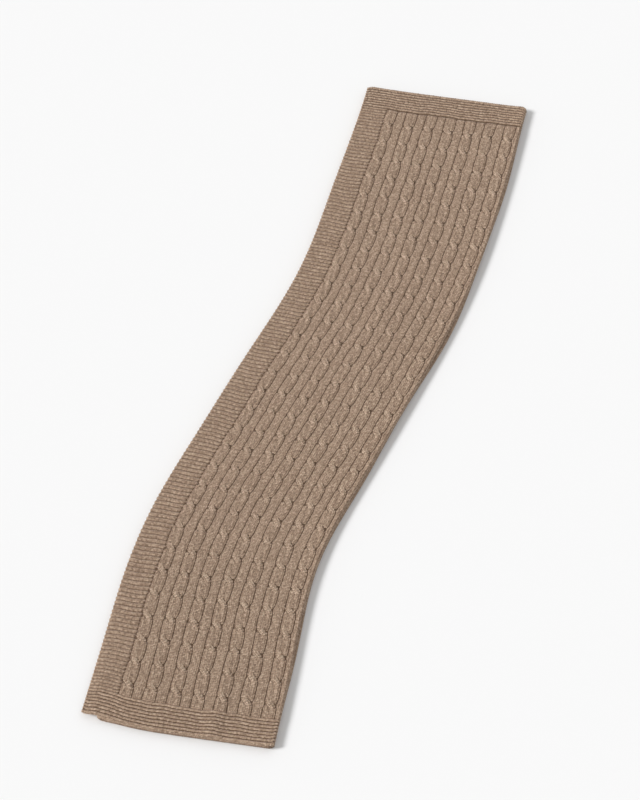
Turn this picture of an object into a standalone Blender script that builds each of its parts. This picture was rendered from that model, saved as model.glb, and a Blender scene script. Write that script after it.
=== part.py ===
"""Cable-knit throw, folded in four lengthwise and laid out flat with a gentle bend.

Metres, +Z up. The throw rests on z = 0, with its near end toward -Y and the free edge of its top
layer toward -X. "along" is measured from the near end, "across" from the strip's middle toward +X,
and "around" is the way over the cloth from that free edge through the three folds to the other edge.
"""

import math

import bmesh
import bpy

NAME = "cable_knit_throw"

# Folded strip
LENGTH = 1.70
LAYERS = 4
CLOTH = 0.0030
AIR_GAP = 0.0007
FOLD_PUFF = 0.0011
PUFF_REACH = 0.030
SETTLE = 0.0005
SETTLE_WAVE = 0.62

# Ridged border, whose ridges run across the throw along all four sides. They lie closest in the end
# borders, and the first few past those widen one by one to the pitch of the side border.
RIDGES = 182
BORDER_RIDGES = 8
WIDENING_RIDGES = 10
END_RIDGE_PITCH = 0.00725
BORDER = BORDER_RIDGES * END_RIDGE_PITCH
RIDGE_VALLEY = 0.0010
RIDGE_CREST = 0.0021
EDGE_FACE = 0.0008
EDGE_MARGIN = 0.004

# Cables and plain ribs between the borders; each face is a height over the middle of the cloth
REPEATS = 7
CABLE_WIDTH = 0.0242
RIB_WIDTH = 0.0203
REPEAT_PITCH = CABLE_WIDTH + RIB_WIDTH
SHOULDER = 0.0032
GROOVE_FACE = 0.0008
CABLE_FACE = 0.0026
RIB_FACE = 0.0022
CROSSING_FACE = 0.0031
NOTCH_FACE = 0.0013
PANEL_MARGIN = 0.0035

# Crossings of the cables' two strands
CROSSINGS = 30
CROSSING_PITCH = 0.052
FIRST_CROSSING = BORDER + 0.030
CROSSING_HALF = 0.013
CROSSING_SKEW = 0.0055
CROSSING_WAIST = 0.0016

# How the strip lies: metres along it, and the angle in degrees of its middle line toward +X
HEADINGS = (
    (0.00, 3.0),
    (0.22, 3.0),
    (0.66, 19.0),
    (0.92, 19.0),
    (1.38, 8.0),
    (1.70, 6.0),
)
PATH_STEPS = 340
COURSE_TURN = 0.3

# Long edges: across, flare at the near end, waviness, wavelength and phase of each
EDGES = {
    "top edge": (-0.180, -0.011, 0.0016, 0.52, 0.4),
    "fold A": (0.180, 0.003, 0.0012, 0.66, 1.1),
    "fold B": (-0.175, 0.014, 0.0018, 0.47, 2.3),
    "fold C": (0.182, 0.004, 0.0024, 0.41, 4.4),
    "low edge": (-0.177, 0.018, 0.0020, 0.58, 3.0),
}
FLARE_REACH = 0.42

# How far each layer's ends are drawn in: near left, near right, far left and far right
END_PULLS = {
    1: (0.016, 0.000, 0.002, 0.004),
    2: (0.011, 0.000, 0.006, 0.004),
    3: (0.011, 0.003, 0.006, 0.000),
    4: (0.015, 0.003, 0.003, 0.000),
}
CORNER_REACH = 0.075
PULL_REACH = 0.22

# Soft lengthwise swells of the top layer: across, near end, far end, half width and height
SWELLS = (
    (0.062, -0.26, 0.26, 0.019, 0.0046),
    (-0.060, 0.34, 0.74, 0.034, 0.0016),
    (0.030, 0.80, 1.36, 0.040, 0.0018),
)

# The cloth's parts on the way around: left edge, right edge and width of each layer, and
# side and width of each fold
LAYER_EDGES = {
    1: ("top edge", "fold A", 0.356),
    2: ("fold B", "fold A", 0.344),
    3: ("fold B", "fold C", 0.344),
    4: ("low edge", "fold C", 0.3335),
}
FOLDS = {1: ("fold A", 1.0), 2: ("fold B", -1.0), 3: ("fold C", 1.0)}
FOLD_WIDTH = 0.0075

# Rows and columns of the plain faces
PLAIN_ROWS = 22
EDGE_ROW_STEP = 4
LAYER_SHARES = (0.1, 0.9)
TOP_LAYER_SHARES = (0.1, 0.58, 0.68, 0.78, 0.9)
OUTER_FOLD_SHARES = (0.0, 0.28, 0.5, 0.72, 1.0)
INNER_FOLD_SHARES = (0.0, 0.5, 1.0)
END_COLUMNS = (0.11, 0.17, 0.215, 0.240, 0.265, 0.31)

# Yarn colour, linear
YARN = (0.33, 0.24, 0.175, 1.0)
YARN_ROUGHNESS = 0.9


def fade(share):
    """Falls smoothly from 1 at share 0 to 0 at share 1, and stays 0 past it."""
    share = min(max(share, 0.0), 1.0)
    return (1.0 - share) ** 2 * (1.0 + 2.0 * share)


def bell(offset, half_width):
    return math.exp(-((offset / half_width) ** 2))


def ridge_valleys():
    """Places along the cloth of the valleys beside the ridges, from its near end to its far end."""
    from_ends = [min(ridge, RIDGES - 1 - ridge) + 1 for ridge in range(RIDGES)]
    shares = [1.0 - fade((count - BORDER_RIDGES) / WIDENING_RIDGES) for count in from_ends]
    wider = (LENGTH - RIDGES * END_RIDGE_PITCH) / sum(shares)
    valleys = [0.0]
    for share in shares:
        valleys.append(valleys[-1] + END_RIDGE_PITCH + wider * share)
    return valleys


VALLEYS = ridge_valleys()


def heading(along):
    """Angle of the middle line toward +X, in radians."""
    for (start, first), (end, last) in zip(HEADINGS, HEADINGS[1:]):
        if along <= end:
            kept = fade((along - start) / (end - start))
            return math.radians(first * kept + last * (1.0 - kept))
    return math.radians(HEADINGS[-1][1])


def middle_line():
    """Points of the strip's middle line, at equal steps along it."""
    step = LENGTH / PATH_STEPS
    points = [(0.0, 0.0)]
    for index in range(PATH_STEPS):
        angle = heading((index + 0.5) * step)
        x, y = points[-1]
        points.append((x + math.sin(angle) * step, y + math.cos(angle) * step))
    return points


MIDDLE_LINE = middle_line()


def edge_across(edge, along):
    across, flare, waviness, wavelength, phase = EDGES[edge]
    wave = waviness * math.sin(math.tau * along / wavelength + phase)
    return across + flare * fade(along / FLARE_REACH) + wave


def air_gap(fold, across, along):
    """Air between the two layers that a fold joins. It is puffed beside the fold."""
    puff = FOLD_PUFF * bell(across - EDGES[FOLDS[fold][0]][0], PUFF_REACH)
    wave = math.sin(math.tau * along / SETTLE_WAVE + 9.0 * across + 1.7 * fold)
    return AIR_GAP + puff + SETTLE * (1.0 + wave)


def swell(across, along):
    height = 0.0
    for middle, near, far, half_width, top in SWELLS:
        reach = fade(abs(along - (near + far) / 2.0) / ((far - near) / 2.0))
        height += top * bell(across - middle, half_width) * reach
    return height


def level(layer, across, along):
    """Height of the middle of a layer. Layer 1 is the top one, and layer 4 lies flat."""
    height = CLOTH / 2.0
    for fold in range(layer, LAYERS):
        height += CLOTH + air_gap(fold, across, along)
    if layer == 1:
        height += swell(across, along)
    return height


def fold_section(fold, along):
    """Middle point (across, height) and radius of a fold's round, at the middle of the cloth."""
    edge, side = FOLDS[fold]
    reach = edge_across(edge, along)
    upper = level(fold, reach, along)
    lower = level(fold + 1, reach, along)
    radius = (upper - lower) / 2.0
    return reach - side * (radius + CLOTH / 2.0), (upper + lower) / 2.0, radius


def layer_limits(layer, along):
    """Left and right ends of a layer's straight stretch, across."""
    limits = []
    for edge in LAYER_EDGES[layer][:2]:
        folds = [fold for fold, (name, _) in FOLDS.items() if name == edge]
        limits.append(fold_section(folds[0], along)[0] if folds else edge_across(edge, along))
    return limits


def part_starts():
    """Where each layer and fold begins on the way around, as (start, kind, number, width)."""
    starts = []
    around = 0.0
    for layer in range(1, LAYERS + 1):
        starts.append((around, "layer", layer, LAYER_EDGES[layer][2]))
        around += LAYER_EDGES[layer][2]
        if layer < LAYERS:
            starts.append((around, "fold", layer, FOLD_WIDTH))
            around += FOLD_WIDTH
    return starts


PART_STARTS = part_starts()
LAST_AROUND = PART_STARTS[-1][0] + PART_STARTS[-1][3]


def cloth_section(around, along):
    """Across and height of the middle of the cloth, its face's direction, and its layer."""
    start, kind, number, width = [part for part in PART_STARTS if part[0] <= around + 1e-9][-1]
    share = min((around - start) / width, 1.0)
    if kind == "layer":
        left, right = layer_limits(number, along)
        faces_up = number % 2 == 1
        across = left + (right - left) * (share if faces_up else 1.0 - share)
        return across, level(number, across, along), (0.0, 1.0 if faces_up else -1.0), number
    middle, height, radius = fold_section(number, along)
    side = FOLDS[number][1]
    out = (side * math.sin(math.pi * share), math.cos(math.pi * share))
    point = (middle + radius * out[0], height + radius * out[1])
    layer = number if share < 0.5 else number + 1
    return point[0], point[1], (side * out[0], side * out[1]), layer


def end_pull(layer, across, along):
    """How far a layer is drawn in from its ends, along the strip."""
    near_left, near_right, far_left, far_right = END_PULLS[layer]
    corner = bell(across - EDGES["top edge"][0], CORNER_REACH)
    near = near_left * corner + near_right * (1.0 - corner)
    far = far_left * corner + far_right * (1.0 - corner)
    return near * fade(along / PULL_REACH) - far * fade((LENGTH - along) / PULL_REACH)


def place(around, along, face):
    """A point of the throw, where face is its height over the middle of the cloth."""
    across, height, (out_across, out_up), layer = cloth_section(around, along)
    across += face * out_across
    height += face * out_up
    drawn = along + end_pull(layer, across, along)
    step = LENGTH / PATH_STEPS
    index = min(max(int(drawn / step), 0), PATH_STEPS - 1)
    share = drawn / step - index
    (x0, y0), (x1, y1) = MIDDLE_LINE[index], MIDDLE_LINE[index + 1]
    turn = COURSE_TURN * heading(drawn)
    x = x0 + (x1 - x0) * share + across * math.cos(turn)
    y = y0 + (y1 - y0) * share - across * math.sin(turn)
    return x, y, height


def line(mesh, around, rows, faces):
    """Points of one line along the throw, each as (key, vertex); the key orders them in a strip."""
    if not isinstance(faces, (list, tuple)):
        faces = [faces] * len(rows)
    return [(row, mesh.verts.new(place(around, row, face))) for row, face in zip(rows, faces)]


def fill_strip(mesh, first, second):
    """Faces between two lines of points: quads where they match one to one, else triangles."""
    if len(first) == len(second):
        for index in range(len(first) - 1):
            corners = first[index], first[index + 1], second[index + 1], second[index]
            mesh.faces.new([vertex for _, vertex in corners])
        return
    i, j = 0, 0
    while i < len(first) - 1 or j < len(second) - 1:
        on_first = j == len(second) - 1
        if i < len(first) - 1 and not on_first:
            on_first = first[i + 1][0] <= second[j + 1][0]
        if on_first:
            corners = first[i][1], first[i + 1][1], second[j][1]
            i += 1
        else:
            corners = first[i][1], second[j + 1][1], second[j][1]
            j += 1
        mesh.faces.new(corners)


def fill_strips(mesh, lines):
    for first, second in zip(lines, lines[1:]):
        fill_strip(mesh, first, second)


def crossing_rows():
    return [FIRST_CROSSING + index * CROSSING_PITCH for index in range(CROSSINGS)]


def panel_column(mesh, around, kind):
    """One line along the panel. The kinds are groove, rib, and the left, middle or right of a cable."""
    ends = BORDER + PANEL_MARGIN, LENGTH - BORDER - PANEL_MARGIN
    plain = {"groove": GROOVE_FACE, "rib": RIB_FACE}.get(kind, CABLE_FACE)
    skew = {"left": -CROSSING_SKEW, "right": CROSSING_SKEW}.get(kind, 0.0)
    crossed = {"left": NOTCH_FACE, "right": NOTCH_FACE, "middle": CROSSING_FACE}.get(kind, plain)
    waist = {"left": CROSSING_WAIST, "right": -CROSSING_WAIST}.get(kind, 0.0)
    points = line(mesh, around, ends[:1], plain)
    for row in crossing_rows():
        points += line(mesh, around, [row - CROSSING_HALF], plain)
        points += line(mesh, around + waist, [row + skew], crossed)
        points += line(mesh, around, [row + CROSSING_HALF], plain)
    return points + line(mesh, around, ends[1:], plain)


def panel_columns(mesh):
    """All lines of the cable panel, from its left groove to the rib that goes round the first fold."""
    columns = []
    for repeat in range(REPEATS):
        left = BORDER + repeat * REPEAT_PITCH
        kinds = (
            (0.0, "groove"),
            (SHOULDER, "left"),
            (CABLE_WIDTH / 2.0, "middle"),
            (CABLE_WIDTH - SHOULDER, "right"),
            (CABLE_WIDTH, "groove"),
            (CABLE_WIDTH + RIB_WIDTH / 2.0, "rib"),
        )
        columns += [(left + offset, kind) for offset, kind in kinds]
    return columns, [panel_column(mesh, around, kind) for around, kind in columns]


def ridge_rows(first, last):
    """Rows at each valley and crest of the ridges numbered first to last, and their faces."""
    rows, faces = [VALLEYS[first]], [RIDGE_VALLEY]
    for start, end in zip(VALLEYS[first:last], VALLEYS[first + 1 : last + 1]):
        rows += [(start + end) / 2.0, end]
        faces += [RIDGE_CREST, RIDGE_VALLEY]
    return rows, faces


def end_border(mesh, first, last, inner, right):
    """Lines of an end border, from the side border's inner line to the last panel column."""
    rows, faces = ridge_rows(first, last)
    columns = [inner[2 * first : 2 * last + 1]]
    for around in (*END_COLUMNS, right):
        columns.append(line(mesh, around, rows, faces))
    fill_strips(mesh, columns)
    return columns


def across_line(columns, arounds, index):
    """The points at one index of several columns, ordered by their place around the cloth."""
    return [(around, column[index][1]) for around, column in zip(arounds, columns)]


def face_of_top_layer(mesh, edge_line):
    """The knitted face that shows; returns its line around the first fold and its two end lines."""
    rows, faces = ridge_rows(0, RIDGES)
    outer = line(mesh, EDGE_MARGIN, rows, faces)
    inner = line(mesh, BORDER - EDGE_MARGIN, rows, faces)
    fill_strips(mesh, [edge_line, outer, inner])

    columns, panel = panel_columns(mesh)
    fill_strips(mesh, panel)
    last_around = columns[-1][0]
    near = end_border(mesh, 0, BORDER_RIDGES, inner, last_around)
    far = end_border(mesh, RIDGES - BORDER_RIDGES, RIDGES, inner, last_around)
    fill_strip(mesh, inner[2 * BORDER_RIDGES : len(inner) - 2 * BORDER_RIDGES], panel[0])

    end_arounds = (BORDER - EDGE_MARGIN, *END_COLUMNS, last_around)
    panel_arounds = [around for around, _ in columns]
    near_side = across_line(panel, panel_arounds, 0)
    far_side = across_line(panel, panel_arounds, -1)
    fill_strip(mesh, across_line(near, end_arounds, -1), near_side)
    fill_strip(mesh, far_side, across_line(far, end_arounds, 0))

    fold_line = near[-1] + panel[-1] + far[-1]
    ends = []
    for index, border in ((0, near), (-1, far)):
        end = [(0.0, edge_line[index][1]), (EDGE_MARGIN, outer[index][1])]
        ends.append(end + across_line(border, end_arounds, index))
    return fold_line, last_around, ends


def plain_arounds(after, outer_folds):
    """Places around the cloth of a plain side's lines; outer_folds lists the folds it goes outside."""
    arounds = []
    for start, kind, number, width in PART_STARTS:
        shares = TOP_LAYER_SHARES if number == 1 else LAYER_SHARES
        if kind == "fold":
            shares = OUTER_FOLD_SHARES if number in outer_folds else INNER_FOLD_SHARES
        arounds += [start + share * width for share in shares]
    arounds = [0.0, *arounds, LAST_AROUND]
    return [around for around in arounds if around > after]


def plain_side(mesh, arounds, face):
    rows = [LENGTH * index / PLAIN_ROWS for index in range(PLAIN_ROWS + 1)]
    return [line(mesh, around, rows, face) for around in arounds]


def build_cloth():
    """The closed body of the folded throw, as a mesh."""
    mesh = bmesh.new()
    edge_line = line(mesh, 0.0, ridge_rows(0, RIDGES)[0][::EDGE_ROW_STEP], EDGE_FACE)
    fold_line, last_around, (near_end, far_end) = face_of_top_layer(mesh, edge_line)

    face_arounds = plain_arounds(last_around + EDGE_MARGIN / 2.0, (1, 3))
    face_lines = plain_side(mesh, face_arounds, CLOTH / 2.0)
    fill_strips(mesh, [fold_line, *face_lines])

    back_arounds = plain_arounds(-1.0, (2,))
    back_lines = plain_side(mesh, back_arounds, -CLOTH / 2.0)
    fill_strips(mesh, back_lines)
    fill_strip(mesh, edge_line, back_lines[0])
    fill_strip(mesh, face_lines[-1], back_lines[-1])

    near_end += across_line(face_lines, face_arounds, 0)
    far_end += across_line(face_lines, face_arounds, -1)
    fill_strip(mesh, near_end, across_line(back_lines, back_arounds, 0))
    fill_strip(mesh, far_end, across_line(back_lines, back_arounds, -1))
    bmesh.ops.recalc_face_normals(mesh, faces=mesh.faces)
    return mesh


def centre_on_floor(mesh):
    """Moves the middle of the body's outline to the origin; its underside is already on the floor."""
    xs = [vertex.co.x for vertex in mesh.verts]
    ys = [vertex.co.y for vertex in mesh.verts]
    middle = ((min(xs) + max(xs)) / 2.0, (min(ys) + max(ys)) / 2.0, 0.0)
    bmesh.ops.translate(mesh, verts=mesh.verts, vec=[-value for value in middle])


def yarn_material():
    material = bpy.data.materials.new("taupe_yarn")
    material.use_nodes = True
    shader = material.node_tree.nodes["Principled BSDF"]
    shader.inputs["Base Color"].default_value = YARN
    shader.inputs["Roughness"].default_value = YARN_ROUGHNESS
    shader.inputs["Metallic"].default_value = 0.0
    material.diffuse_color = YARN
    return material


def main():
    for obj in list(bpy.data.objects):
        bpy.data.objects.remove(obj, do_unlink=True)
    collection = bpy.data.collections.new(NAME)
    bpy.context.scene.collection.children.link(collection)

    cloth = build_cloth()
    centre_on_floor(cloth)
    data = bpy.data.meshes.new(NAME)
    cloth.to_mesh(data)
    cloth.free()
    data.materials.append(yarn_material())
    collection.objects.link(bpy.data.objects.new(NAME, data))


main()
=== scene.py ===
"""Looks of the folded cable-knit throw: knitted cloth, every stitch that shows, yarn, floor and light.

Metres. "along" runs from the near end of the cloth, "across" from the strip's middle toward +X, and
"around" over the cloth from the free edge of the top layer through the three folds to the other edge.
"face" is a height over the middle of the cloth, toward its knitted side.
"""

import math

import bpy
import numpy as np
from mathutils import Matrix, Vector


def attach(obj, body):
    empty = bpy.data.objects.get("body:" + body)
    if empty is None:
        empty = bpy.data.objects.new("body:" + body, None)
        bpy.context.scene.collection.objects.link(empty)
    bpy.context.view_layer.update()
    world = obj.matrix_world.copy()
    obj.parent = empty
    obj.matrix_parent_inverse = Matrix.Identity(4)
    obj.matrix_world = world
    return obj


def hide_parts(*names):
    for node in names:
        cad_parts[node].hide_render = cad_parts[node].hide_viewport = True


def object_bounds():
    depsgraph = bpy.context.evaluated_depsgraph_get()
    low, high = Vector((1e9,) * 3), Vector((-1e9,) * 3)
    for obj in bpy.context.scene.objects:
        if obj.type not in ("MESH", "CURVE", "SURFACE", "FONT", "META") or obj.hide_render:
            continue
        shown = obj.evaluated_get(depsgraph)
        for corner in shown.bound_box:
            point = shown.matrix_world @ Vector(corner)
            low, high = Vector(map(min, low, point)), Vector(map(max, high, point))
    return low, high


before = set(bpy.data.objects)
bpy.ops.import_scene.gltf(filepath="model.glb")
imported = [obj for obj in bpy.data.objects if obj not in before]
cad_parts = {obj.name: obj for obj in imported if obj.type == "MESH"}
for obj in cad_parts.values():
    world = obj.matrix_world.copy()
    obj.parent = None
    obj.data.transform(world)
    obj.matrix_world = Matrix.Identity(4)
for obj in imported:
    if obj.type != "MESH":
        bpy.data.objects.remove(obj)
CAD_BOUNDS = [list(corner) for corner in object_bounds()]

NODE = "cable_knit_throw"

# Folded strip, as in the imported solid
LENGTH = 1.70
LAYERS = 4
CLOTH = 0.0030
AIR_GAP = 0.0007
FOLD_PUFF = 0.0011
PUFF_REACH = 0.030
SETTLE = 0.0005
SETTLE_WAVE = 0.62

# Ridged border. The ridges lie closest in its ends, and the first few past those widen one by one.
RIDGES = 182
BORDER_RIDGES = 8
WIDENING_RIDGES = 10
END_RIDGE_PITCH = 0.00725
BORDER = BORDER_RIDGES * END_RIDGE_PITCH
RIDGE_VALLEY = 0.0004
RIDGE_RISE = 0.0010
RIDGE_CREST = 0.0021
# Painted shade: how much less of it the ridges' crests get than the valleys, and how much the valleys get
# on the sides
CREST_LIGHT = 0.70
SIDE_VALLEY_SHADE = 0.68

# Cables and plain ribs, and the cloth's own face under their stitches and in the grooves between them
REPEATS = 7
CABLE_WIDTH = 0.0242
RIB_WIDTH = 0.0203
REPEAT_PITCH = CABLE_WIDTH + RIB_WIDTH
CABLE_FACE = 0.0027
RIB_FACE = 0.0023
CABLE_GROUND = 0.0014
RIB_GROUND = 0.0011
GROOVE_FACE = 0.0001
GROOVE_REACH = 0.0030
# How much less painted shade the cloth gets where it rises out of a groove
PANEL_LIGHT = 0.40
HIDDEN_FACE = 0.0009
EDGE_FACE = 0.0004
LAST_ON_TOP = 0.3669

# Crossings of the cables' two strands. Both are tighter there and lie further left, on cloth darkened by
# painted shade.
CROSSINGS = 30
CROSSING_PITCH = 0.052
FIRST_CROSSING = BORDER + 0.030
CROSSING_REACH = 0.0088
STRAND_REACH = 0.0075
STRAND_TIGHT = 0.16
STRAND_SHIFT = 0.0010
OPENING_SHADE = 0.9
CLOSED_SHADE = 0.4

# The front strand is higher, rounder and more level at a crossing, and a painted highlight makes it paler
# there
STRAND_LIFT = 0.0007
STRAND_ROUND = 0.0007
STRAND_TILT = 0.30
LEVELLING = 0.8
STRAND_PAINTED_HIGHLIGHT = 0.38

# The hidden strand dives under the front one, and painted shadow darkens it beside the front one
HIDDEN_CROSSING_REACH = 0.0066
HIDDEN_REACH = 0.0020
STRAND_DIVE = 0.0013
DIVE_START = 0.0006
DIVE_REACH = 0.0036
SHADOW_REACH = 0.0054
SHADOW_LENGTH = 0.0100
FAR_SHADOW = 1.40
NEAR_SHADOW = 0.40

# The grooves beside a cable bend in at each crossing, the left one less. The bends fade out past the panel.
LEFT_WAIST = 0.0009
RIGHT_WAIST = 0.0026
WAIST_REACH = 0.0080
BORDER_EASE = 0.010
PANEL_EASE = 0.004

# Stitches: a row is one course, a wale is one column of stitches, and each stitch has two legs
ROW = 0.00363
FIRST_ROW = 0.6
ROW_MARGIN = 0.8
CABLE_WALE_SIDES = (-1.0, 0.0, 1.0)
CABLE_WALE = CABLE_WIDTH / 2.0 / len(CABLE_WALE_SIDES)
RIB_WALES = 5
RIB_WALE = 0.0036
WALE_ROUND = 0.0003
WALE_TILT = 0.10
# Painted shade on a wale, for how far it drops at a shoulder
SHOULDER_SHADE = 0.25

# Legs, with their length and width as shares of a row and of a wale
LEG_LENGTH = 1.55
LEG_WIDTH = 0.60
LEG_DEPTH = 0.0020
LEG_LEAN = math.radians(19.0)
GROOVE_LEAN = math.radians(6.0)
LEG_TILT = 0.10
LOWEST_LEG = 0.0011

# How far the legs differ by chance
JITTER = 0.00012
JITTER_TURN = math.radians(3.0)
JITTER_SIZE = 0.06
SEED = 11

# A leg is a square spindle. Its corners lie on a round, and this girth brings its sides to full width.
SQUARE_GIRTH = math.sqrt(2.0)

# Stitches of the border. Those on a ridge lie in three plies, with sizes as shares of its pitch.
RIDGE_STITCH = 0.0043
RIDGE_START = 0.0010
RIDGE_STOP = 0.0022
RIDGE_PLIES = (-1, 0, 1)
PLY_SPACING = 0.21
PLY_WIDTH = 0.31
PLY_LENGTH = 1.5
PLY_DEPTH = 0.0022
PLY_STAGGER = 0.33
PLY_DROP = 0.0005
PLY_TURN = math.radians(78.0)
PLY_TILT = math.radians(30.0)
# Painted shade on the ridges' stitches, at the sides and at the ends
SIDE_RIDGE_SHADE = 0.17
END_RIDGE_SHADE = 0.11

# The two legs that bring each ply round the free edge: around, top and pitch
RIDGE_ENDS = (
    (-0.0002, 0.0015, math.radians(42.0)),
    (-0.0009, 0.0001, math.radians(84.0)),
)
RIDGE_END_LEG = 0.0036
RIDGE_END_TURN = math.radians(8.0)

# Stitches on the folds and the rims
FOLD_STITCH = 0.0024
FOLD_OVERLAP = 0.001
FOLD_WALES = (0.14, 0.38, 0.62, 0.86)
EDGE_STITCH = 0.0042
RIM_OUT = 0.0006
RIM_TOP = 0.0002
RIM_SPREAD = 0.0009
RIM_TURN = math.radians(14.0)
RIM_TILT = math.radians(34.0)
RIM_LEG = {"length": 0.0056, "width": 0.0024}
# Painted shade on the rims' stitches, deeper on the layers under the top one
RIM_SHADE = 0.05
COVERED_RIM_SHADE = 0.45
PURL_OUT = 0.0006
PURL_BUMP = {"length": 0.0036, "width": 0.0030, "depth": 0.0019, "shade": 0.05}

# How the strip lies: metres along it, and the angle in degrees of its middle line toward +X
HEADINGS = (
    (0.00, 3.0),
    (0.22, 3.0),
    (0.66, 19.0),
    (0.92, 19.0),
    (1.38, 8.0),
    (1.70, 6.0),
)
PATH_STEPS = 340
COURSE_TURN = 0.3

# Long edges: across, flare at the near end, waviness, wavelength and phase of each
EDGES = {
    "top edge": (-0.180, -0.011, 0.0016, 0.52, 0.4),
    "fold A": (0.180, 0.003, 0.0012, 0.66, 1.1),
    "fold B": (-0.175, 0.014, 0.0018, 0.47, 2.3),
    "fold C": (0.182, 0.004, 0.0024, 0.41, 4.4),
    "low edge": (-0.177, 0.018, 0.0020, 0.58, 3.0),
}
FLARE_REACH = 0.42

# How far each layer's ends are drawn in: near left, near right, far left and far right
END_PULLS = {
    1: (0.016, 0.000, 0.002, 0.004),
    2: (0.011, 0.000, 0.006, 0.004),
    3: (0.011, 0.003, 0.006, 0.000),
    4: (0.015, 0.003, 0.003, 0.000),
}
CORNER_REACH = 0.075
PULL_REACH = 0.22
CORNER_ROUND = 0.0040
ROUND_REACH = 0.0060

# Soft lengthwise swells of the top layer: across, near end, far end, half width and height
SWELLS = (
    (0.062, -0.26, 0.26, 0.019, 0.0046),
    (-0.060, 0.34, 0.74, 0.034, 0.0016),
    (0.030, 0.80, 1.36, 0.040, 0.0018),
)

# How far the top layer's free edge hangs down where it stands out past the layers below
DROOP = 0.0055
DROOP_START = 0.0020
DROOP_REACH = 0.030

# How far soft knitting lies off its straight lines, across or along, in waves: size, wavelength and drift
WANDERS_ACROSS = ((0.0007, 0.190, 30.0), (0.0004, 0.083, -55.0))
WANDERS_ALONG = ((0.0009, 0.130, 11.0), (0.0005, 0.047, 23.0))
WANDER_STOP = 0.30
WANDER_EASE = 0.05
EDGE_EASE = 0.02
END_EASE = 0.03

# Left edge, right edge and width of each layer, and side of each fold
LAYER_EDGES = {
    1: ("top edge", "fold A", 0.356),
    2: ("fold B", "fold A", 0.344),
    3: ("fold B", "fold C", 0.344),
    4: ("low edge", "fold C", 0.3335),
}
FOLDS = {1: ("fold A", 1.0), 2: ("fold B", -1.0), 3: ("fold C", 1.0)}
FOLD_WIDTH = 0.0075
FOLD_A_WALES = (0.3552, 0.3576, 0.3600, 0.3625, 0.3650)
FOLD_A_TURN = 0.3572

# Light. Each lamp has a name, the direction it shines from, its strength and its angle in degrees.
WORLD_LIGHT = 0.52
SURROUND_LIGHT = 0.96
LAMPS = (
    ("window", (-0.85, -0.30, 0.72), 2.70, 18.0),
    ("fill", (0.40, 0.60, 0.90), 0.20, 60.0),
)

# Floor and camera, whose angles are in degrees. The floor lies just under the cloth.
FLOOR_SIZE = 80.0
FLOOR_DROP = 0.0003
CAMERA_TARGET = (0.0, -0.02, 0.0)
CAMERA_ELEVATION = 55.0
CAMERA_AZIMUTH = -8.0
CAMERA_DISTANCE = 5.5
LENS = 120.0
SENSOR_HEIGHT = 36.0


def fade(share):
    """Falls smoothly from 1 at share 0 to 0 at share 1, and stays 0 past it."""
    share = np.clip(share, 0.0, 1.0)
    return (1.0 - share) ** 2 * (1.0 + 2.0 * share)


def bell(offset, half_width):
    """Is 1 at offset 0 and falls off smoothly to both sides."""
    return np.exp(-((offset / half_width) ** 2))


def ridge_valleys():
    """Places along the cloth of the valleys beside the ridges, from its near end to its far end."""
    from_ends = np.minimum(np.arange(RIDGES), np.arange(RIDGES)[::-1]) + 1
    shares = 1.0 - fade((from_ends - BORDER_RIDGES) / WIDENING_RIDGES)
    wider = (LENGTH - RIDGES * END_RIDGE_PITCH) / shares.sum()
    return np.concatenate([[0.0], np.cumsum(END_RIDGE_PITCH + wider * shares)])


VALLEYS = ridge_valleys()


def heading(along):
    """Angle of the middle line toward +X, in radians."""
    angle = np.full(np.shape(along), HEADINGS[0][1])
    for (start, first), (end, last) in zip(HEADINGS, HEADINGS[1:]):
        kept = fade((along - start) / (end - start))
        angle = np.where(along > start, first * kept + last * (1.0 - kept), angle)
    return np.radians(angle)


def middle_line():
    """Lengths along the strip's middle line and its points there, a little past both ends."""
    step = LENGTH / PATH_STEPS
    margin = 12
    places = np.arange(-margin, PATH_STEPS + margin + 1) * step
    angles = heading(places[:-1] + step / 2.0)
    x = np.concatenate([[0.0], np.cumsum(np.sin(angles) * step)])
    y = np.concatenate([[0.0], np.cumsum(np.cos(angles) * step)])
    return places, x - x[margin], y - y[margin]


PATH_ALONG, PATH_X, PATH_Y = middle_line()


def edge_across(edge, along):
    """Where a long edge lies across the strip."""
    across, flare, waviness, wavelength, phase = EDGES[edge]
    wave = waviness * np.sin(math.tau * along / wavelength + phase)
    return across + flare * fade(along / FLARE_REACH) + wave


def air_gap(fold, across, along):
    """Air between the two layers that a fold joins. It is puffed beside the fold."""
    puff = FOLD_PUFF * bell(across - EDGES[FOLDS[fold][0]][0], PUFF_REACH)
    wave = np.sin(math.tau * along / SETTLE_WAVE + 9.0 * across + 1.7 * fold)
    return AIR_GAP + puff + SETTLE * (1.0 + wave)


def swell(across, along):
    """Height of the top layer's swells."""
    height = 0.0
    for middle, near, far, half_width, top in SWELLS:
        reach = fade(np.abs(along - (near + far) / 2.0) / ((far - near) / 2.0))
        height = height + top * bell(across - middle, half_width) * reach
    return height


def level(layer, across, along):
    """Height of the middle of a layer. Layer 1 is the top one, and layer 4 lies flat."""
    height = np.full(np.shape(along), CLOTH / 2.0)
    for fold in range(layer, LAYERS):
        height = height + CLOTH + air_gap(fold, across, along)
    if layer == 1:
        past = edge_across("fold B", along) - across - DROOP_START
        height = height + swell(across, along) - DROOP * (1.0 - fade(past / DROOP_REACH))
    return height


def fold_section(fold, along):
    """Middle point (across, height) and radius of a fold's round, at the middle of the cloth."""
    edge, side = FOLDS[fold]
    reach = edge_across(edge, along)
    upper = level(fold, reach, along)
    lower = level(fold + 1, reach, along)
    radius = (upper - lower) / 2.0
    return reach - side * (radius + CLOTH / 2.0), (upper + lower) / 2.0, radius


def layer_limits(layer, along):
    """Left and right ends of a layer's straight stretch, across."""
    limits = []
    for edge in LAYER_EDGES[layer][:2]:
        folds = [fold for fold, (name, _) in FOLDS.items() if name == edge]
        limits.append(fold_section(folds[0], along)[0] if folds else edge_across(edge, along))
    return limits


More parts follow.
